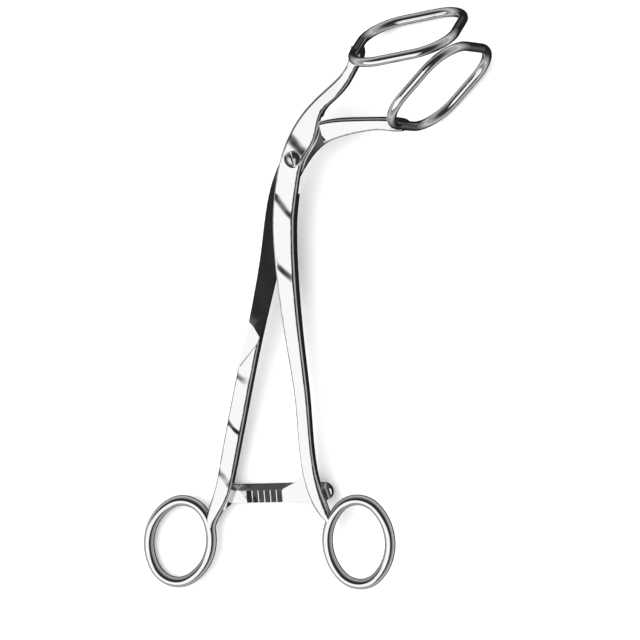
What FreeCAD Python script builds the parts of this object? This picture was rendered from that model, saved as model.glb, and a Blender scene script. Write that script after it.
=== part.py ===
import FreeCAD, Part
import math
import os
import Sketcher
from FreeCAD import Placement, Rotation, Vector

# Uterine elevating forceps: a finger-ring clamp whose two long handles cross at a screw joint,
# with jaws bent to one side that end in wide open loops.
# Frame: the origin is where the pivot axis meets the flat back of the joint. +Z runs from the
# back to the screw head, +Y from the finger rings to the joint, and the jaws bend towards +X.

DOC = FreeCAD.newDocument("uterine_elevating_forceps")
SHEET = DOC.addObject("Spreadsheet::Sheet", "Sizes")

SIZES = {
    # joint, all heights measured from the flat back of the joint
    "joint_thickness": 6.0,
    "lap_gap": 0.10,
    "side_clearance": 0.60,
    "edge_round": 0.95,
    "lap_end_x": -11.8,
    "lap_end_y": -62.5,
    "lap_end_heading": 56.0,
    "lap_run_out": 6.0,
    "rear_step_x": 10.35,
    "rear_step_y": 10.65,
    "rear_step_heading": -72.0,
    "front_step_x": 7.6,
    "front_step_y": 14.7,
    "front_step_heading": 34.0,
    "front_wall_start_y": -13.4,
    # screw
    "screw_shank_radius": 1.70,
    "screw_running_gap": 0.05,
    "screw_thread_gap": 0.02,
    "screw_head_radius": 2.80,
    "screw_head_rim": 0.75,
    "screw_dome_height": 0.95,
    "screw_back_inset": 0.0,
    "counterbore_radius": 3.25,
    "counterbore_depth": 1.20,
    "head_seat_gap": 0.04,
    "slot_width": 0.80,
    "slot_depth": 0.85,
    "slot_turn": 112.0,
    # finger rings
    "ring_semi_width": 12.0,
    "ring_semi_length": 15.6,
    "ring_end_radius": 9.5,
    "ring_wire_radius": 1.95,
    "right_ring_x": 32.0,
    "right_ring_y": -137.8,
    "right_ring_lean": 3.0,
    "left_ring_x": -36.6,
    "left_ring_y": -146.5,
    "left_ring_lean": -12.0,
    # jaw loops
    "loop_length": 38.7,
    "loop_width": 36.5,
    "loop_corner_radius": 13.0,
    "loop_wire_radius": 1.75,
    "loop_cant": 16.0,
    "upper_loop_x": 40.0,
    "upper_loop_y": 48.0,
    "upper_loop_turn": 16.7,
    "lower_loop_x": 52.7,
    "lower_loop_y": 31.5,
    "lower_loop_turn": 52.5,
    # ratchet
    "bar_root_x": -21.0,
    "bar_root_y": -127.5,
    "bar_turn": 8.5,
    "bar_length": 41.0,
    "bar_height": 6.5,
    "bar_thickness": 2.5,
    "bar_bevel": 2.0,
    "bar_face_z": -0.15,
    "tooth_pitch": 2.35,
    "tooth_height": 0.70,
    "tooth_gap": 0.20,
    "tooth_land": 0.30,
    "bar_tooth_start": 8.0,
    "pawl_tooth_start": 22.6,
    "pawl_thickness": 2.3,
    "root_block_width": 5.2,
    "root_block_length": 8.6,
}

# Stations along each forging, from the ring to the loop. Each has its centre, its heading in
# degrees from +X, its width across the flat and its thickness. The first sits on the ring's
# wire and the last on the loop's wire, so those two take their centres from the ring and loop.
FRONT_STATIONS = [
    ("neck", 15.4, -123.5, 109.0, 5.2, 4.2),
    ("wrist", 12.0, -114.0, 101.0, 5.0, 4.4),
    ("shin", 7.8, -88.0, 100.0, 5.0, 4.7),
    ("calf", 4.9, -73.0, 101.0, 5.5, 5.0),
    ("shaft", 2.9, -63.0, 101.5, 6.0, 5.3),
    ("thigh", -1.7, -34.0, 96.0, 7.5, 5.8),
    ("hip", -2.6, -21.0, 91.0, 8.0, 6.0),
    ("waist", -1.9, -9.0, 81.0, 8.2, 6.0),
    ("pivot", -0.4, 0.2, 74.0, 8.3, 6.0),
    ("shoulder", 4.1, 10.8, 60.0, 9.0, 6.0),
    ("upper_arm", 7.7, 19.2, 53.0, 5.4, 5.8),
    ("elbow", 12.7, 24.9, 50.0, 5.0, 5.4),
    ("forearm", 17.4, 30.6, 53.0, 4.2, 5.2),
    ("palm", 20.2, 36.0, 66.0, 3.7, 5.8),
]
REAR_STATIONS = [
    ("neck", -24.0, -134.5, 77.0, 4.8, 4.1),
    ("collar", -21.3, -127.0, 76.0, 5.6, 4.3),
    ("wrist", -19.6, -118.0, 81.0, 6.0, 4.4),
    ("shin", -15.8, -91.0, 82.0, 6.1, 4.8),
    ("shaft", -12.0, -66.0, 81.0, 6.0, 5.2),
    ("thigh", -9.6, -51.0, 81.0, 6.5, 5.6),
    ("hip", -7.4, -35.0, 84.0, 7.4, 5.9),
    ("waist", -6.2, -22.0, 82.0, 8.0, 6.0),
    ("belly", -4.2, -11.0, 72.0, 8.5, 6.0),
    ("pivot", 0.4, 0.2, 56.0, 9.0, 6.0),
    ("shoulder", 6.7, 8.2, 40.0, 8.6, 6.0),
    ("upper_arm", 14.2, 12.1, 19.0, 7.0, 5.8),
    ("elbow", 23.8, 14.6, 11.0, 5.1, 5.4),
    ("forearm", 31.5, 15.9, 8.0, 4.4, 5.2),
]
for half, stations in (("front", FRONT_STATIONS), ("rear", REAR_STATIONS)):
    for name, x, y, heading, width, thickness in stations:
        SIZES[f"{half}_{name}_x"] = x
        SIZES[f"{half}_{name}_y"] = y
        SIZES[f"{half}_{name}_heading"] = heading
        SIZES[f"{half}_{name}_width"] = width
        SIZES[f"{half}_{name}_thick"] = thickness
SIZES["front_ring_angle"] = 156.0
SIZES["rear_ring_angle"] = 28.0
SIZES["neck_end_width"] = 3.4
SIZES["neck_end_thick"] = 3.5
SIZES["fan_width"] = 3.3
SIZES["fan_height"] = 9.0
SIZES["front_fan_heading"] = 73.0
SIZES["rear_fan_heading"] = 6.0

for row, (alias, value) in enumerate(SIZES.items(), start=1):
    SHEET.set(f"A{row}", alias.replace("_", " "))
    SHEET.set(f"B{row}", str(value))
    SHEET.setAlias(f"B{row}", alias)
DOC.recompute()


def size(alias):
    """Value of one driving dimension."""
    return float(SHEET.get(alias))


MID = "Sizes.joint_thickness / 2"
LAP_FRONT = "Sizes.joint_thickness / 2 + Sizes.lap_gap / 2"
LAP_REAR = "Sizes.joint_thickness / 2 - Sizes.lap_gap / 2"


def plane_of(body, role):
    """Origin plane of a body, such as XY_Plane."""
    return next(f for f in body.Origin.OriginFeatures if f.Role == role)


def new_sketch(body, name, plane="XY_Plane", base=(None, None, None), axis=(0, 0, 1), turn=None):
    """Sketch on an origin plane, shifted and turned by expressions."""
    sketch = body.newObject("Sketcher::SketchObject", name)
    sketch.AttachmentSupport = [(plane_of(body, plane), "")]
    sketch.MapMode = "FlatFace"
    sketch.AttachmentOffset = Placement(Vector(), Rotation(Vector(*axis), 1.0))
    for part, expression in zip("xyz", base):
        if expression is not None:
            sketch.setExpression(f"AttachmentOffset.Base.{part}", expression)
    sketch.setExpression("AttachmentOffset.Rotation.Angle", turn if turn is not None else "0")
    return sketch


def tie(sketch, kind, *refs, value, expression):
    """Dimension constraint that follows an expression."""
    index = sketch.addConstraint(Sketcher.Constraint(kind, *refs, value))
    sketch.setExpression(f"Constraints[{index}]", expression)
    return index


def rounded_section(sketch, width, height, corner, low=None):
    """Rounded rectangle centred on the sketch's origin, or standing on the height low."""
    w, t, r = 4.0, 3.0, 0.5
    corners = [(-w, -t), (w, -t), (w, t), (-w, t)]
    lines = [((-w + r, -t), (w - r, -t)), ((w, -t + r), (w, t - r)),
             ((w - r, t), (-w + r, t)), ((-w, t - r), (-w, -t + r))]
    centres = [(w - r, -t + r), (w - r, t - r), (-w + r, t - r), (-w + r, -t + r)]
    for i, (start, end) in enumerate(lines):
        sketch.addGeometry(Part.LineSegment(Vector(*start, 0), Vector(*end, 0)), False)
        circle = Part.Circle(Vector(*centres[i], 0), Vector(0, 0, 1), r)
        first = math.radians(270 + 90 * i)
        sketch.addGeometry(Part.ArcOfCircle(circle, first, first + math.pi / 2), False)
    for i in range(4):
        line, arc, after = 2 * i, 2 * i + 1, (2 * i + 2) % 8
        sketch.addConstraint(Sketcher.Constraint("Tangent", line, 2, arc, 1))
        sketch.addConstraint(Sketcher.Constraint("Tangent", arc, 2, after, 1))
        sketch.addConstraint(Sketcher.Constraint("Horizontal" if i % 2 == 0 else "Vertical", line))
        if i:
            sketch.addConstraint(Sketcher.Constraint("Equal", 1, arc))
    tie(sketch, "Radius", 1, value=r, expression=corner)
    tie(sketch, "DistanceX", -1, 1, 2, 2, value=w, expression=f"({width}) / 2")
    tie(sketch, "DistanceX", 6, 1, -1, 1, value=w, expression=f"({width}) / 2")
    if low is None:
        tie(sketch, "DistanceY", -1, 1, 4, 1, value=t, expression=f"({height}) / 2")
        tie(sketch, "DistanceY", 0, 1, -1, 1, value=t, expression=f"({height}) / 2")
    else:
        tie(sketch, "DistanceY", -1, 1, 4, 1, value=t, expression=f"{low} + {height}")
        tie(sketch, "DistanceY", -1, 1, 0, 1, value=-t, expression=low)


def station_sketch(body, name, x, y, heading, width, thick, corner):
    """Section of a forging, square to its heading and centred on the mid plane."""
    sketch = new_sketch(body, name, "XZ_Plane", (x, MID, f"-({y})"), (0, 1, 0), f"({heading}) - 90")
    rounded_section(sketch, width, thick, corner)
    return sketch


def ring_point(side, ring_angle):
    """Expressions for a point on a ring's centre line and the line's heading there."""
    a, b, lean = "Sizes.ring_semi_width", "Sizes.ring_semi_length", f"Sizes.{side}_ring_lean"
    u, v = f"({a} * cos({ring_angle}))", f"({b} * sin({ring_angle}))"
    x = f"Sizes.{side}_ring_x + {u} * cos({lean}) - {v} * sin({lean})"
    y = f"Sizes.{side}_ring_y + {u} * sin({lean}) + {v} * cos({lean})"
    return x, y


def ring_heading(side, half):
    """Heading of a ring's centre line at its neck, turned to run up towards the joint."""
    angle = math.radians(size(f"{half}_ring_angle"))
    du = -size("ring_semi_width") * math.sin(angle)
    dv = size("ring_semi_length") * math.cos(angle)
    heading = math.degrees(math.atan2(dv, du)) + size(f"{side}_ring_lean")
    return heading % 180.0


def forging_loft(body, half, side, jaw, stations):
    """The bar of one half: handle, joint and jaw arm in one smooth loft."""
    sections = []
    x, y = ring_point(side, f"Sizes.{half}_ring_angle * 1 deg")
    sections.append(station_sketch(body, f"{half}_section_ring", x, y, str(ring_heading(side, half)),
                                   "Sizes.neck_end_width", "Sizes.neck_end_thick",
                                   "Sizes.neck_end_width * 0.45"))
    for name, *_ in stations:
        key = f"Sizes.{half}_{name}"
        corner = "Sizes.edge_round"
        if name == "neck":
            corner = f"{key}_thick * 0.4"
        sections.append(station_sketch(body, f"{half}_section_{name}", f"{key}_x", f"{key}_y",
                                       f"{key}_heading", f"{key}_width", f"{key}_thick", corner))
    turn = f"Sizes.{jaw}_loop_turn * 1 deg"
    x = f"Sizes.{jaw}_loop_x - Sizes.loop_length / 2 * cos({turn})"
    y = f"Sizes.{jaw}_loop_y - Sizes.loop_length / 2 * sin({turn})"
    sections.append(station_sketch(body, f"{half}_section_fan", x, y, f"Sizes.{half}_fan_heading",
                                   "Sizes.fan_width", "Sizes.fan_height", "Sizes.fan_width * 0.47"))
    loft = body.newObject("PartDesign::AdditiveLoft", f"{half}_bar")
    loft.Profile = sections[0]
    loft.Sections = sections[1:]
    loft.Ruled = False
    loft.Refine = False
    return loft


def oval_path(sketch, semi_width, semi_length, end_radius):
    """Closed oval of four tangent arcs, its long axis along the sketch's Y."""
    rise = semi_length - end_radius
    flank = (rise ** 2 + semi_width ** 2 - end_radius ** 2) / (2 * (semi_width - end_radius))
    spread = math.atan2(flank - semi_width, rise)
    quarter = math.pi / 2
    arcs = [
        (Vector(0, rise, 0), end_radius, quarter - spread, quarter + spread),
        (Vector(flank - semi_width, 0, 0), flank, quarter + spread, 3 * quarter - spread),
        (Vector(0, -rise, 0), end_radius, 3 * quarter - spread, 3 * quarter + spread),
        (Vector(semi_width - flank, 0, 0), flank, spread - quarter, quarter - spread),
    ]
    for centre, radius, first, last in arcs:
        circle = Part.Circle(centre, Vector(0, 0, 1), radius)
        arc = sketch.addGeometry(Part.ArcOfCircle(circle, first, last), False)
        sketch.addConstraint(Sketcher.Constraint("Block", arc))


def finger_ring(body, half, side):
    """Oval ring of round wire."""
    path = new_sketch(body, f"{half}_ring_path", "XY_Plane",
                      (f"Sizes.{side}_ring_x", f"Sizes.{side}_ring_y", MID), (0, 0, 1),
                      f"Sizes.{side}_ring_lean")
    oval_path(path, size("ring_semi_width"), size("ring_semi_length"), size("ring_end_radius"))
    lean = f"Sizes.{side}_ring_lean * 1 deg"
    x = f"Sizes.{side}_ring_x - Sizes.ring_semi_length * sin({lean})"
    y = f"Sizes.{side}_ring_y + Sizes.ring_semi_length * cos({lean})"
    wire = new_sketch(body, f"{half}_ring_wire", "XZ_Plane", (x, MID, f"-({y})"), (0, 1, 0),
                      f"Sizes.{side}_ring_lean + 90")
    wire.addGeometry(Part.Circle(Vector(0, 0, 0), Vector(0, 0, 1), 2.0), False)
    wire.addConstraint(Sketcher.Constraint("Coincident", 0, 3, -1, 1))
    tie(wire, "Radius", 0, value=2.0, expression="Sizes.ring_wire_radius")
    pipe = body.newObject("PartDesign::AdditivePipe", f"{half}_ring")
    pipe.Profile = wire
    pipe.Spine = path
    pipe.Refine = False
    return pipe


def jaw_loop(body, half, jaw, outward):
    """Wide open loop of round wire. Its plane stands nearly upright and leans outwards at the back."""
    tilt = size("loop_cant") * outward - 90.0
    turn = Rotation(Vector(0, 0, 1), size(f"{jaw}_loop_turn"))
    stand = turn.multiply(Rotation(Vector(1, 0, 0), tilt))
    centre = Vector(size(f"{jaw}_loop_x"), size(f"{jaw}_loop_y"), size("joint_thickness") / 2)
    path = body.newObject("Sketcher::SketchObject", f"{half}_loop_path")
    path.AttachmentSupport = [(plane_of(body, "XY_Plane"), "")]
    path.MapMode = "FlatFace"
    path.AttachmentOffset = Placement(centre, stand)
    rounded_section(path, "Sizes.loop_length", "Sizes.loop_width", "Sizes.loop_corner_radius")
    wire = body.newObject("Sketcher::SketchObject", f"{half}_loop_wire")
    wire.AttachmentSupport = [(plane_of(body, "XY_Plane"), "")]
    wire.MapMode = "FlatFace"
    rail = stand.multVec(Vector(0, size("loop_width") / 2, 0))
    across = stand.multiply(Rotation(Vector(0, 1, 0), 90.0))
    wire.AttachmentOffset = Placement(centre + rail, across)
    wire.addGeometry(Part.Circle(Vector(0, 0, 0), Vector(0, 0, 1), 1.5), False)
    wire.addConstraint(Sketcher.Constraint("Coincident", 0, 3, -1, 1))
    tie(wire, "Radius", 0, value=1.5, expression="Sizes.loop_wire_radius")
    pipe = body.newObject("PartDesign::AdditivePipe", f"{half}_loop")
    pipe.Profile = wire
    pipe.Spine = path
    pipe.Refine = False
    return pipe


def polygon(sketch, points):
    """Closed outline through a few corners, held where the driving dimensions put them."""
    for i, start in enumerate(points):
        end = points[(i + 1) % len(points)]
        line = sketch.addGeometry(Part.LineSegment(Vector(*start, 0), Vector(*end, 0)), False)
        sketch.addConstraint(Sketcher.Constraint("Block", line))


def pocket(body, name, sketch, length, reverse=False, midplane=False):
    """Pocket of one length, away from its sketch, checked to remove material."""
    DOC.recompute()
    before = body.Shape.Volume
    cut = body.newObject("PartDesign::Pocket", name)
    cut.Profile = sketch
    cut.Reversed = reverse
    cut.Midplane = midplane
    cut.Refine = False
    cut.setExpression("Length", length)
    DOC.recompute()
    if body.Shape.Volume >= before:
        raise ValueError(f"{name} removes nothing")
    return cut


def pad(body, name, sketch, length, reverse=False, midplane=False):
    """Pad of one length, checked to add material."""
    DOC.recompute()
    before = body.Shape.Volume
    boss = body.newObject("PartDesign::Pad", name)
    boss.Profile = sketch
    boss.Reversed = reverse
    boss.Midplane = midplane
    boss.Refine = False
    boss.setExpression("Length", length)
    DOC.recompute()
    if body.Shape.Volume <= before:
        raise ValueError(f"{name} adds nothing")
    return boss


def along(x, y, heading, distance):
    """Point at a distance from another, along a heading in degrees."""
    angle = math.radians(heading)
    return x + distance * math.cos(angle), y + distance * math.sin(angle)


REACH = 30.0
# Corners of the pawl's outline: its tip, its shoulder and its root inside the handle.
PAWL_OUTLINE = [(2.4, -126.0), (2.1, -121.8), (7.8, -118.0), (10.0, -113.0), (12.2, -113.5), (14.6, -125.2)]


def rear_lap(body):
    """Front side of the rear half cut to half thickness, from the jaw step to the run-out."""
    end = (size("lap_end_x"), size("lap_end_y"))
    step = (size("rear_step_x"), size("rear_step_y"))
    slant, turn = size("lap_end_heading"), size("rear_step_heading")
    low, high = along(*end, slant, -REACH / 2), along(*end, slant, REACH / 2)
    foot, head = along(*step, turn, REACH), along(*step, turn, -REACH)
    corners = [low, high, (foot[0], high[1]), foot, head, (low[0], head[1])]
    plan = new_sketch(body, "rear_lap_plan", "XY_Plane", (None, None, LAP_REAR))
    polygon(plan, corners)
    pocket(body, "rear_lap", plan, "Sizes.joint_thickness", reverse=True)
    ramp = new_sketch(body, "rear_lap_ramp_side", "XZ_Plane",
                      ("Sizes.lap_end_x", LAP_REAR, "-Sizes.lap_end_y"), (0, 1, 0),
                      "Sizes.lap_end_heading + 90")
    rise = size("joint_thickness") / 2 + size("lap_gap") / 2
    run = size("lap_run_out")
    polygon(ramp, [(0.5, 0.0), (0.5, rise), (-run, rise), (0.0, 0.0)])
    pocket(body, "rear_lap_ramp", ramp, f"{REACH}", midplane=True)


def front_lap(body):
    """Back of the front half cut to half thickness where the rear half crosses behind it."""
    step = (size("front_step_x"), size("front_step_y"))
    turn = size("front_step_heading")
    right, left = along(*step, turn, REACH / 3), along(*step, turn, -REACH)
    foot = size("front_wall_start_y")
    plan = new_sketch(body, "front_lap_plan", "XY_Plane", (None, None, LAP_FRONT))
    polygon(plan, [(left[0], foot), (right[0], foot), right, left])
    pocket(body, "front_lap", plan, "Sizes.joint_thickness")
    sections = []
    for name in ("thigh", "hip", "waist", "belly"):
        key = f"Sizes.rear_{name}"
        sketch = new_sketch(body, f"front_lap_{name}", "XZ_Plane",
                            (f"{key}_x", "0", f"-{key}_y"), (0, 1, 0), f"{key}_heading - 90")
        rounded_section(sketch, f"{key}_width + 2 * Sizes.side_clearance",
                        f"{LAP_FRONT} + 2", "0.2", low="-2")
        sections.append(sketch)
    groove = body.newObject("PartDesign::SubtractiveLoft", "front_lap_path")
    groove.Profile = sections[0]
    groove.Sections = sections[1:]
    groove.Refine = False
    DOC.recompute()


def round_pocket(body, name, radius, low, length):
    """Round hole on the pivot axis, upwards from a height."""
    sketch = new_sketch(body, f"{name}_circle", "XY_Plane", (None, None, low))
    sketch.addGeometry(Part.Circle(Vector(0, 0, 0), Vector(0, 0, 1), 1.0), False)
    sketch.addConstraint(Sketcher.Constraint("Coincident", 0, 3, -1, 1))
    tie(sketch, "Radius", 0, value=1.0, expression=radius)
    pocket(body, name, sketch, length, reverse=True)


def along_bar(distance, rise=0.0):
    """Point on the ratchet's line, a distance from the root and a rise towards the joint."""
    start = along(size("bar_root_x"), size("bar_root_y"), size("bar_turn"), distance)
    return along(*start, size("bar_turn") + 90.0, rise)


def bar_sketch(body, name, distance, rise, height, turn=0.0):
    """Upright sketch at a point of the ratchet's line, its X along the bar unless turned."""
    x, y = along_bar(distance, rise)
    return new_sketch(body, name, "XZ_Plane", (f"{x}", height, f"{-y}"), (0, 1, 0),
                      f"Sizes.bar_turn + {turn}")


def tooth_row(body, name, first, count, face, up):
    """Saw teeth on a ratchet face: a strip with a row of slanted grooves cut across it."""
    pitch, rise, land = size("tooth_pitch"), size("tooth_height"), size("tooth_land")
    low = -size("bar_height") / 2
    width = size("bar_height") - size("bar_bevel")
    sink, clear = -0.3 * up, 0.3 * up
    strip = bar_sketch(body, f"{name}_strip_side", first, low, face)
    ends = (0.0, count * pitch + land)
    polygon(strip, [(ends[0], sink), (ends[1], sink), (ends[1], rise * up), (ends[0], rise * up)])
    pad(body, f"{name}_strip", strip, f"{width}", reverse=True)
    groove = bar_sketch(body, f"{name}_groove_side", first, low - 1.0, face)
    near, far = (land, pitch) if up > 0 else (pitch, land)
    polygon(groove, [(near, rise * up), (far, 0.0), (far, rise * up + clear),
                     (near, rise * up + clear)])
    cut = pocket(body, f"{name}_groove", groove, f"{width + 1.5}")
    row = body.newObject("PartDesign::LinearPattern", name)
    row.Originals = [cut]
    row.Direction = (groove, ["H_Axis"])
    row.Refine = False
    row.Occurrences = count
    row.setExpression("Length", f"Sizes.tooth_pitch * {count - 1}")
    body.Tip = row
    DOC.recompute()


def ratchet_bar(body):
    """Long ratchet bar of the rear half, carried behind the handle by a block at its root."""
    half, bevel = size("bar_height") / 2, size("bar_bevel")
    straight = size("bar_length") - half
    plan = new_sketch(body, "bar_plan", "XY_Plane",
                      ("Sizes.bar_root_x", "Sizes.bar_root_y", "Sizes.bar_face_z"), (0, 0, 1),
                      "Sizes.bar_turn")
    for start, end in (((straight, half), (0, half)), ((0, half), (0, -half)),
                       ((0, -half), (straight, -half))):
        line = plan.addGeometry(Part.LineSegment(Vector(*start, 0), Vector(*end, 0)), False)
        plan.addConstraint(Sketcher.Constraint("Block", line))
    nose = Part.Circle(Vector(straight, 0, 0), Vector(0, 0, 1), half)
    arc = plan.addGeometry(Part.ArcOfCircle(nose, -math.pi / 2, math.pi / 2), False)
    plan.addConstraint(Sketcher.Constraint("Block", arc))
    pad(body, "bar", plan, "Sizes.bar_thickness", reverse=True)
    slope = bar_sketch(body, "bar_bevel_side", 1.0, 0.0, "Sizes.bar_face_z", turn=90.0)
    polygon(slope, [(half - bevel, 0.0), (half + 0.5, 0.5), (half + 0.5, -0.8 * bevel),
                    (half, -0.6 * bevel)])
    pocket(body, "bar_bevel_cut", slope, "Sizes.bar_length + 1", reverse=True)
    sections = []
    for name, height, spread in (("low", "Sizes.bar_face_z - Sizes.bar_thickness", "0"),
                                 ("high", MID, "1.6")):
        block = new_sketch(body, f"root_block_{name}", "XY_Plane",
                           ("Sizes.bar_root_x", "Sizes.bar_root_y", height), (0, 0, 1),
                           "Sizes.rear_collar_heading - 90")
        rounded_section(block, "Sizes.root_block_width - 0.4", f"Sizes.root_block_length + {spread}",
                        "1.2")
        sections.append(block)
    loft = body.newObject("PartDesign::AdditiveLoft", "root_block")
    loft.Profile = sections[0]
    loft.Sections = sections[1:]
    loft.Refine = False
    DOC.recompute()
    tooth_row(body, "bar_teeth", size("bar_tooth_start"), 12, "Sizes.bar_face_z", 1)


def pawl(body):
    """Short ratchet arm of the front half, reaching over the long bar with teeth on its back."""
    low = "Sizes.bar_face_z + 2 * Sizes.tooth_height + Sizes.tooth_gap"
    plan = new_sketch(body, "pawl_plan", "XY_Plane", (None, None, low))
    polygon(plan, PAWL_OUTLINE)
    pad(body, "pawl", plan, "Sizes.pawl_thickness")
    tooth_row(body, "pawl_teeth", size("pawl_tooth_start"), 4, low, -1)


def pivot_screw(body):
    """Domed slotted screw, turned in one profile."""
    seat = "Sizes.joint_thickness - Sizes.counterbore_depth + Sizes.head_seat_gap"
    shank, head = size("screw_shank_radius"), size("screw_head_radius")
    low = size("screw_back_inset")
    under = size("joint_thickness") - size("counterbore_depth") + size("head_seat_gap")
    rim = under + size("screw_head_rim")
    top = rim + size("screw_dome_height")
    profile = new_sketch(body, "screw_profile", "XZ_Plane")
    points = [(0, low), (shank - 0.3, low), (shank, low + 0.3), (shank, under), (head, under),
              (head, rim)]
    for start, end in zip(points, points[1:]):
        line = profile.addGeometry(Part.LineSegment(Vector(*start, 0), Vector(*end, 0)), False)
        profile.addConstraint(Sketcher.Constraint("Block", line))
    dome_radius = (head ** 2 + size("screw_dome_height") ** 2) / (2 * size("screw_dome_height"))
    centre = Part.Circle(Vector(0, top - dome_radius, 0), Vector(0, 0, 1), dome_radius)
    start = math.atan2(rim - top + dome_radius, head)
    for shape in (Part.ArcOfCircle(centre, start, math.pi / 2),
                  Part.LineSegment(Vector(0, top, 0), Vector(0, low, 0))):
        edge = profile.addGeometry(shape, False)
        profile.addConstraint(Sketcher.Constraint("Block", edge))
    turned = body.newObject("PartDesign::Revolution", "screw_blank")
    turned.Profile = profile
    turned.ReferenceAxis = (profile, ["V_Axis"])
    turned.Angle = 360.0
    DOC.recompute()
    slot = new_sketch(body, "slot_plan", "XY_Plane", (None, None, f"{seat} + Sizes.screw_head_rim + Sizes.screw_dome_height"),
                      (0, 0, 1), "Sizes.slot_turn")
    wide = size("slot_width") / 2
    polygon(slot, [(-head - 1, -wide), (head + 1, -wide), (head + 1, wide), (-head - 1, wide)])
    pocket(body, "slot", slot, "Sizes.slot_depth")


front = DOC.addObject("PartDesign::Body", "front_half")
forging_loft(front, "front", "right", "upper", FRONT_STATIONS)
front_lap(front)
round_pocket(front, "front_pivot_hole", "Sizes.screw_shank_radius + Sizes.screw_running_gap",
             "0", "Sizes.joint_thickness + 1")
round_pocket(front, "front_counterbore", "Sizes.counterbore_radius",
             "Sizes.joint_thickness - Sizes.counterbore_depth", "Sizes.counterbore_depth + 1")
finger_ring(front, "front", "right")
jaw_loop(front, "front", "upper", 1)
pawl(front)

rear = DOC.addObject("PartDesign::Body", "rear_half")
forging_loft(rear, "rear", "left", "lower", REAR_STATIONS)
rear_lap(rear)
round_pocket(rear, "rear_pivot_hole", "Sizes.screw_shank_radius + Sizes.screw_thread_gap",
             "-1", "Sizes.joint_thickness + 1")
finger_ring(rear, "rear", "left")
jaw_loop(rear, "rear", "lower", -1)
ratchet_bar(rear)

screw = DOC.addObject("PartDesign::Body", "pivot_screw")
pivot_screw(screw)
DOC.recompute()

for obj in DOC.Objects:
    if "Invalid" in obj.State or "Error" in obj.State:
        raise ValueError(f"{obj.Name} failed: {obj.State}")
os.makedirs("parts", exist_ok=True)
for body in (front, rear, screw):
    shape = body.Shape
    print(body.Label, shape.isValid(), len(shape.Solids), round(shape.Volume, 1))
    if shape.isNull() or not shape.isValid() or len(shape.Solids) != 1:
        raise ValueError(f"{body.Label} is not one sound solid")
    shape.exportStep(f"parts/{body.Label}.step")
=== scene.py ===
"""Studio scene for the ring-handled elevating forceps: finishes, camera, light and floor.

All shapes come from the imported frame. The scene gives each forged half its mirror polish and
the screw its turned finish, lays the part on a pale sheet and looks at it as the catalogue
picture does.
"""

import logging
import math
from dataclasses import dataclass, field
from enum import Enum
from typing import Any

import bmesh
import bpy
from mathutils import Matrix, Vector


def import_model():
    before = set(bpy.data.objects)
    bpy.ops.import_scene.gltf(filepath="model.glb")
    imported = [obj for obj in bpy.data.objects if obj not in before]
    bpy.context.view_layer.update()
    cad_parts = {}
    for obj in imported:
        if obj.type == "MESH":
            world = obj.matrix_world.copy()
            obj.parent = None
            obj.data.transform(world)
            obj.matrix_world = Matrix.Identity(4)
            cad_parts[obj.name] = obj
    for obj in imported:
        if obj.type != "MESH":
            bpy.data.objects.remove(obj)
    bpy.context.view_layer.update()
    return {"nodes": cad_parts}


LOG = logging.getLogger("forceps_scene")
MM = 0.001


class Body(Enum):
    """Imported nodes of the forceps."""

    FRONT_HALF = "front_half"
    REAR_HALF = "rear_half"
    PIVOT_SCREW = "pivot_screw"


def linear(hex_colour: str) -> tuple[float, float, float, float]:
    """Turn an sRGB hex colour into the linear colour that shaders work in.

    Args:
        hex_colour: six hex digits after a hash, such as "#c8cacc".

    Returns:
        Linear red, green and blue, and an alpha of 1.
    """
    digits = hex_colour.lstrip("#")
    channels = [int(digits[i:i + 2], 16) / 255 for i in (0, 2, 4)]
    red, green, blue = [c / 12.92 if c <= 0.04045 else ((c + 0.055) / 1.055) ** 2.4
                        for c in channels]
    return red, green, blue, 1.0


def add_node(tree: bpy.types.NodeTree, kind: str, links: dict[Any, Any] | None = None,
             values: dict[Any, Any] | None = None, **settings: Any) -> bpy.types.Node:
    """Add one node with its settings, socket values and incoming links.

    Args:
        tree: node tree that the node goes into.
        kind: Blender's name for the node's type.
        links: input socket name or index to the output socket that feeds it.
        values: input socket name or index to its value.
        **settings: properties set on the node itself.

    Returns:
        The new node.
    """
    node = tree.nodes.new(kind)
    for name, value in settings.items():
        setattr(node, name, value)
    for socket, value in (values or {}).items():
        node.inputs[socket].default_value = value
    for socket, source in (links or {}).items():
        tree.links.new(source, node.inputs[socket])
    return node


def empty_material(name: str) -> bpy.types.Material:
    """Material with an empty node tree."""
    material = bpy.data.materials.new(name)
    material.use_nodes = True
    material.node_tree.nodes.clear()
    return material


@dataclass(frozen=True)
class BuffedDip:
    """A slanted stretch where the buffed face falls slightly towards the jaws.

    Start and end are distances from the pivot along the heading, in degrees from +X, and fall is
    the whole drop. The hand lets the edges wander. All lengths are in millimetres.
    """

    start: float
    end: float
    fall: float
    shape: str = "SMOOTHSTEP"
    wander: float = 2.4
    heading: float = 46.5
    highest_y: float = 100.0


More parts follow.
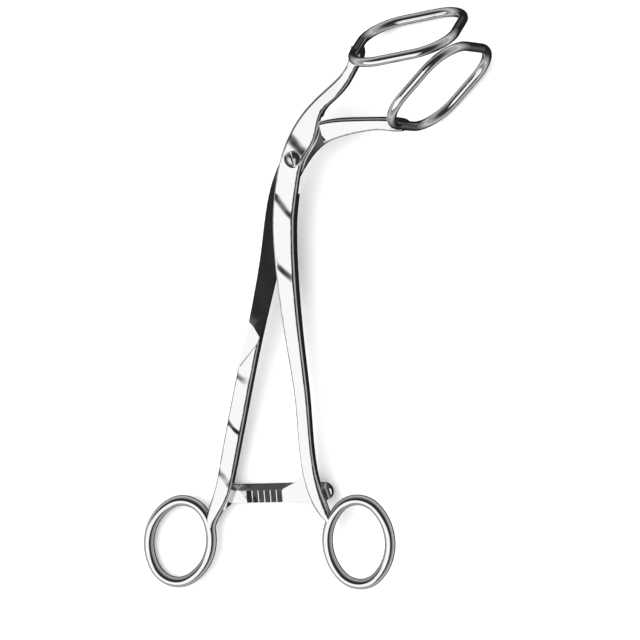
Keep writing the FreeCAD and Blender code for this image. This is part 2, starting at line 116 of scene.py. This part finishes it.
@dataclass(frozen=True)
class MirrorPolishedSteel:
    """Martensitic stainless steel, forged, ground and buffed to a mirror by hand.

    The hand buffing leaves slow waves and a few slanted dips in the faces, which turn the
    reflections into grey bands, and very fine rub marks along the handles.
    """

    name: str
    dips: tuple[BuffedDip, ...]
    colour: str = "#d8d9da"
    roughness_low: float = 0.045
    roughness_high: float = 0.13
    wave_length: float = 26.0
    wave_height: float = 0.05
    rub_width: float = 0.7
    rub_length: float = 14.0
    rub_height: float = 0.0016
    smudge_size: float = 9.0
    wander_size: float = 8.0

    def build(self) -> bpy.types.Material:
        """Build the material.

        Returns:
            The finished material.
        """
        material = empty_material(self.name)
        tree = material.node_tree
        place = add_node(tree, "ShaderNodeTexCoord").outputs["Object"]
        # Waves of the buffing wheel, in millimetres from the wave length.
        waves = add_node(tree, "ShaderNodeTexNoise", {"Vector": place},
                         {"Scale": 1 / (self.wave_length * MM), "Detail": 1.0, "Roughness": 0.4})
        wave_bump = add_node(tree, "ShaderNodeBump", {"Height": waves.outputs["Fac"]},
                             {"Strength": 1.0, "Distance": self.wave_height * MM * 2})
        dip_bump = add_node(tree, "ShaderNodeBump",
                            {"Height": self.dip_height(tree, place),
                             "Normal": wave_bump.outputs["Normal"]},
                            {"Strength": 1.0, "Distance": 1.0})
        # Rub marks are finer than a pixel on the real steel, so they are drawn wider here.
        stretched = add_node(tree, "ShaderNodeMapping", {"Vector": place},
                             {"Rotation": (0.0, 0.0, math.radians(-8)),
                              "Scale": (1 / (self.rub_width * MM), 1 / (self.rub_length * MM),
                                        1 / (self.rub_width * MM))})
        rubs = add_node(tree, "ShaderNodeTexNoise", {"Vector": stretched.outputs["Vector"]},
                        {"Scale": 1.0, "Detail": 2.0})
        rub_bump = add_node(tree, "ShaderNodeBump",
                            {"Height": rubs.outputs["Fac"], "Normal": dip_bump.outputs["Normal"]},
                            {"Strength": 1.0, "Distance": self.rub_height * MM})
        smudges = add_node(tree, "ShaderNodeTexNoise", {"Vector": place},
                           {"Scale": 1 / (self.smudge_size * MM), "Detail": 4.0})
        rough = add_node(tree, "ShaderNodeMapRange", {"Value": smudges.outputs["Fac"]},
                         {"From Min": 0.35, "From Max": 0.7, "To Min": self.roughness_low,
                          "To Max": self.roughness_high})
        shader = add_node(tree, "ShaderNodeBsdfPrincipled",
                          {"Roughness": rough.outputs["Result"],
                           "Normal": rub_bump.outputs["Normal"]},
                          {"Base Color": linear(self.colour), "Metallic": 1.0})
        add_node(tree, "ShaderNodeOutputMaterial", {"Surface": shader.outputs["BSDF"]})
        return material

    def dip_height(self, tree: bpy.types.NodeTree,
                   place: bpy.types.NodeSocket) -> bpy.types.NodeSocket:
        """Add up the falls of all dips.

        Args:
            tree: node tree of the material.
            place: position on the part.

        Returns:
            Socket that gives the face's height in metres.
        """
        hand = add_node(tree, "ShaderNodeTexNoise", {"Vector": place},
                        {"Scale": 1 / (self.wander_size * MM), "Detail": 1.0}).outputs["Fac"]
        y_place = add_node(tree, "ShaderNodeSeparateXYZ", {"Vector": place}).outputs["Y"]
        height = add_node(tree, "ShaderNodeValue").outputs["Value"]
        for dip in self.dips:
            way = math.radians(dip.heading)
            along = add_node(tree, "ShaderNodeVectorMath", {0: place},
                             {1: (math.cos(way), math.sin(way), 0.0)},
                             operation="DOT_PRODUCT").outputs["Value"]
            spot = add_node(tree, "ShaderNodeMath", {0: hand, 2: along}, {1: dip.wander * MM},
                            operation="MULTIPLY_ADD").outputs["Value"]
            fall = add_node(tree, "ShaderNodeMapRange", {"Value": spot},
                            {"From Min": dip.start * MM, "From Max": dip.end * MM,
                             "To Min": dip.fall * MM, "To Max": 0.0},
                            interpolation_type=dip.shape).outputs["Result"]
            reach = add_node(tree, "ShaderNodeMath", {0: y_place}, {1: dip.highest_y * MM},
                             operation="LESS_THAN").outputs["Value"]
            height = add_node(tree, "ShaderNodeMath", {0: fall, 1: reach, 2: height},
                              operation="MULTIPLY_ADD").outputs["Value"]
        return height


# The front half's dips from the ratchet to the joint, the last one just above the screw.
FRONT_DIPS = (BuffedDip(-31.6, -27.2, 0.34), BuffedDip(-15.6, -11.4, 0.34),
              BuffedDip(3.0, 9.0, 0.44))
# The rear half's three dips on the handle, then the long fall of the face into the joint. The
# last one hides the short facet where the solid's lap ends, which is a long fall in the photo.
REAR_DIPS = (BuffedDip(-102.0, -97.6, 0.42), BuffedDip(-86.0, -82.6, 0.32),
             BuffedDip(-71.8, -66.8, 0.38), BuffedDip(-54.7, 14.5, 7.8, "LINEAR", wander=0.0),
             BuffedDip(-55.1, -8.7, 2.8),
             BuffedDip(-30.5, -25.2, -2.7, "LINEAR", wander=0.0, heading=146.0, highest_y=-20.0))


@dataclass(frozen=True)
class TurnedSteel:
    """Stainless steel turned on a lathe and lightly polished, with rings left by the tool."""

    colour: str = "#bfc2c5"
    roughness_low: float = 0.12
    roughness_high: float = 0.24
    ring_pitch: float = 0.35
    ring_height: float = 0.004

    def build(self) -> bpy.types.Material:
        """Build the material.

        Returns:
            The finished material.
        """
        material = empty_material("turned_steel")
        tree = material.node_tree
        place = add_node(tree, "ShaderNodeTexCoord").outputs["Object"]
        # The tool marks are rings about the pivot axis.
        rings = add_node(tree, "ShaderNodeTexWave", {"Vector": place},
                         {"Scale": 1 / (self.ring_pitch * MM * 20), "Distortion": 0.4,
                          "Detail": 1.0},
                         wave_type="RINGS", rings_direction="Z")
        bump = add_node(tree, "ShaderNodeBump", {"Height": rings.outputs["Fac"]},
                        {"Strength": 1.0, "Distance": self.ring_height * MM})
        rough = add_node(tree, "ShaderNodeMapRange", {"Value": rings.outputs["Fac"]},
                         {"To Min": self.roughness_low, "To Max": self.roughness_high})
        shader = add_node(tree, "ShaderNodeBsdfPrincipled",
                          {"Roughness": rough.outputs["Result"], "Normal": bump.outputs["Normal"]},
                          {"Base Color": linear(self.colour), "Metallic": 1.0})
        add_node(tree, "ShaderNodeOutputMaterial", {"Surface": shader.outputs["BSDF"]})
        return material


@dataclass
class Forceps:
    """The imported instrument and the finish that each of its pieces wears.

    Weld is the distance in millimetres at which two corners count as one, and least_facet the
    area in square millimetres that a flat side needs for the part to lie on it.
    """

    nodes: dict[str, bpy.types.Object]
    finishes: dict[Body, MirrorPolishedSteel | TurnedSteel] = field(default_factory=lambda: {
        Body.FRONT_HALF: MirrorPolishedSteel("front_polished_steel", FRONT_DIPS),
        Body.REAR_HALF: MirrorPolishedSteel("rear_polished_steel", REAR_DIPS),
        Body.PIVOT_SCREW: TurnedSteel()})
    weld: float = 0.02
    least_facet: float = 20.0
    least_level: float = 0.5

    def dress(self) -> None:
        """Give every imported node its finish."""
        for body, finish in self.finishes.items():
            node = self.nodes[body.value]
            node.data.materials.clear()
            node.data.materials.append(finish.build())
            LOG.info("%s is dressed", body.value)

    def resting_plane(self) -> tuple[Vector, Vector]:
        """Find the flat surface that the forceps would lie on.

        Returns:
            A point of the surface and its upward normal.
        """
        hull = bmesh.new()
        centre = Vector()
        count = 0
        for body in Body:
            for vertex in self.nodes[body.value].data.vertices:
                hull.verts.new(vertex.co)
                centre += vertex.co
                count += 1
        centre /= count
        bmesh.ops.remove_doubles(hull, verts=hull.verts, dist=self.weld * MM)
        bmesh.ops.convex_hull(hull, input=hull.verts, use_existing_faces=False)
        bmesh.ops.recalc_face_normals(hull, faces=hull.faces)
        best, best_height = None, -math.inf
        for face in hull.faces:
            steep = face.normal.z > -self.least_level
            if steep or face.calc_area() < self.least_facet * MM ** 2:
                continue
            corner = face.verts[0].co
            offset = centre - corner
            rise = (face.normal.x * offset.x + face.normal.y * offset.y) / face.normal.z
            height = corner.z - rise
            if height > best_height:
                best, best_height = (corner.copy(), -face.normal.copy()), height
        hull.free()
        return best


@dataclass
class CatalogueCamera:
    """Long-lens camera that looks down on the face of the forceps from its upper right.

    The target pixel is where the top of the pivot lies in the 640 by 640 picture.
    """

    tilt: float = 22.0
    heading: float = 33.0
    roll: float = 5.0
    focal_pixels: float = 6000.0
    mm_per_pixel: float = 0.358
    frame_pixels: int = 640
    sensor: float = 36.0
    target: tuple[float, float, float] = (0.0, 0.0, 6.5)
    target_pixel: tuple[float, float] = (291.8, 159.3)

    def build(self) -> None:
        """Create the camera and make it the scene's own."""
        tilt, heading, roll = (math.radians(a) for a in (self.tilt, self.heading, self.roll))
        back = Vector((math.sin(tilt) * math.cos(heading), math.sin(tilt) * math.sin(heading),
                       math.cos(tilt)))
        lean = Vector((0, 0, 1)).rotation_difference(back)
        right = (lean @ Vector((math.cos(roll), math.sin(roll), 0))).normalized()
        up = back.cross(right)
        middle = self.frame_pixels / 2
        aside = (self.target_pixel[0] - middle) / self.focal_pixels
        above = (middle - self.target_pixel[1]) / self.focal_pixels
        distance = self.focal_pixels * self.mm_per_pixel * MM
        place = Vector(self.target) * MM + distance * (back - aside * right - above * up)
        data = bpy.data.cameras.new("catalogue_camera")
        data.sensor_width = self.sensor
        data.lens = self.focal_pixels / self.frame_pixels * self.sensor
        data.clip_start = 0.05
        data.clip_end = 20.0
        camera = bpy.data.objects.new("catalogue_camera", data)
        turn = Matrix((right, up, back)).transposed().to_4x4()
        camera.matrix_world = Matrix.Translation(place) @ turn
        bpy.context.scene.collection.objects.link(camera)
        bpy.context.scene.camera = camera


@dataclass
class Studio:
    """Pale sheet, soft lamp and the surroundings that the polished steel mirrors."""

    sheet_colour: str = "#f4f4f4"
    sheet_size: float = 6.0
    sheet_gap: float = 0.05
    # Painted glow of the sheet in the steel's mirror: brightness looking straight down, then at a
    # graze.
    sheet_painted_glow: tuple[float, float] = (0.02, 0.75)
    lamp_power: float = 26.0
    lamp_size: float = 1.6
    lamp_place: tuple[float, float, float] = (-0.55, 0.25, 1.5)
    # The ceiling panel's soft edges as slopes from straight up: where each starts and ends.
    panel_right: tuple[float, float] = (0.36, 0.1)
    panel_left: tuple[float, float] = (-2.2, -1.6)
    panel_far: tuple[float, float] = (-0.01, -0.13)
    panel_near: tuple[float, float] = (-1.9, -1.3)
    panel_strength: float = 1.33
    room_mirrored: tuple[float, float] = (0.03, 0.5)
    room_light: float = 1.15

    def sheet(self, point: Vector, normal: Vector) -> None:
        """Lay the pale sheet under the part.

        Args:
            point: a point of the surface that the part lies on.
            normal: that surface's upward normal.
        """
        mesh = bpy.data.meshes.new("pale_sheet")
        half = self.sheet_size / 2
        corners = [(-half, -half, 0), (half, -half, 0), (half, half, 0), (-half, half, 0)]
        mesh.from_pydata(corners, [], [(0, 1, 2, 3)])
        floor = bpy.data.objects.new("pale_sheet", mesh)
        turn = Vector((0, 0, 1)).rotation_difference(normal).to_matrix().to_4x4()
        floor.matrix_world = Matrix.Translation(point - normal * self.sheet_gap * MM) @ turn
        bpy.context.scene.collection.objects.link(floor)
        mesh.materials.append(self.sheet_material())

    def sheet_material(self) -> bpy.types.Material:
        """Matt paper that keeps the part's shadow; to mirrored rays a painted glow, dark straight
        down, bright at a graze.
        """
        material = empty_material("paper_with_painted_glow")
        tree = material.node_tree
        paper = add_node(tree, "ShaderNodeBsdfDiffuse", values={"Color": linear(self.sheet_colour)})
        rim = add_node(tree, "ShaderNodeLayerWeight", values={"Blend": 0.5})
        # Painted reflection: mirrored rays see a glowing sheet with a set brightness by angle, not
        # the paper.
        dark, bright = self.sheet_painted_glow
        painted_glow_strength = add_node(tree, "ShaderNodeMapRange", {"Value": rim.outputs["Facing"]},
                         {"From Min": 0.25, "From Max": 0.85, "To Min": dark,
                          "To Max": bright})
        mirrored = add_node(tree, "ShaderNodeEmission", {"Strength": painted_glow_strength.outputs["Result"]},
                            {"Color": linear("#ffffff")})
        path = add_node(tree, "ShaderNodeLightPath")
        mix = add_node(tree, "ShaderNodeMixShader",
                       {0: path.outputs["Is Glossy Ray"], 1: paper.outputs["BSDF"],
                        2: mirrored.outputs["Emission"]})
        add_node(tree, "ShaderNodeOutputMaterial", {"Surface": mix.outputs["Shader"]})
        return material

    def lamp(self) -> None:
        """Hang one large soft lamp over the part's upper left."""
        data = bpy.data.lights.new("soft_lamp", "AREA")
        data.shape = "SQUARE"
        data.size = self.lamp_size
        data.energy = self.lamp_power
        lamp = bpy.data.objects.new("soft_lamp", data)
        place = Vector(self.lamp_place)
        lamp.matrix_world = (Matrix.Translation(place)
                             @ place.to_track_quat("Z", "Y").to_matrix().to_4x4())
        lamp.visible_glossy = False
        bpy.context.scene.collection.objects.link(lamp)

    def surroundings(self) -> None:
        """Paint the room: a bright ceiling panel, grey walls and a dark far side."""
        world = bpy.data.worlds.new("studio")
        bpy.context.scene.world = world
        world.use_nodes = True
        tree = world.node_tree
        tree.nodes.clear()
        way = add_node(tree, "ShaderNodeTexCoord").outputs["Generated"]
        split = add_node(tree, "ShaderNodeSeparateXYZ", {"Vector": way})
        height = add_node(tree, "ShaderNodeMath", {0: split.outputs["Z"]}, {1: 0.05},
                          operation="MAXIMUM").outputs["Value"]
        across = add_node(tree, "ShaderNodeMath", {0: split.outputs["X"], 1: height},
                          operation="DIVIDE").outputs["Value"]
        along = add_node(tree, "ShaderNodeMath", {0: split.outputs["Y"], 1: height},
                         operation="DIVIDE").outputs["Value"]
        edges = []
        for slope, (start, end) in ((across, self.panel_right), (across, self.panel_left),
                                    (along, self.panel_far), (along, self.panel_near)):
            edges.append(add_node(tree, "ShaderNodeMapRange", {"Value": slope},
                                  {"From Min": start, "From Max": end},
                                  interpolation_type="SMOOTHSTEP").outputs["Result"])
        panel = edges[0]
        for edge in edges[1:]:
            panel = add_node(tree, "ShaderNodeMath", {0: panel, 1: edge},
                             operation="MULTIPLY").outputs["Value"]
        ceiling, walls = self.room_mirrored
        room = add_node(tree, "ShaderNodeMapRange", {"Value": split.outputs["Z"]},
                        {"From Min": 0.75, "From Max": 0.1, "To Min": ceiling, "To Max": walls},
                        interpolation_type="SMOOTHSTEP").outputs["Result"]
        bright = add_node(tree, "ShaderNodeMath", {0: panel}, {1: self.panel_strength},
                          operation="MULTIPLY").outputs["Value"]
        seen = add_node(tree, "ShaderNodeMath", {0: bright, 1: room},
                        operation="ADD").outputs["Value"]
        mirrored = add_node(tree, "ShaderNodeBackground", {"Strength": seen},
                            {"Color": linear("#ffffff")})
        plain = add_node(tree, "ShaderNodeBackground",
                         values={"Color": linear("#ffffff"), "Strength": self.room_light})
        path = add_node(tree, "ShaderNodeLightPath")
        mix = add_node(tree, "ShaderNodeMixShader",
                       {0: path.outputs["Is Glossy Ray"], 1: plain.outputs["Background"],
                        2: mirrored.outputs["Background"]})
        add_node(tree, "ShaderNodeOutputWorld", {"Surface": mix.outputs["Shader"]})


def main() -> None:
    """Load the frame, dress the forceps and set up the studio."""
    logging.basicConfig(level=logging.INFO, format="%(message)s")
    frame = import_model()
    forceps = Forceps(frame["nodes"])
    forceps.dress()
    studio = Studio()
    studio.sheet(*forceps.resting_plane())
    studio.lamp()
    studio.surroundings()
    CatalogueCamera().build()
    bpy.context.scene.view_settings.view_transform = "Standard"


if __name__ == "__main__":
    main()
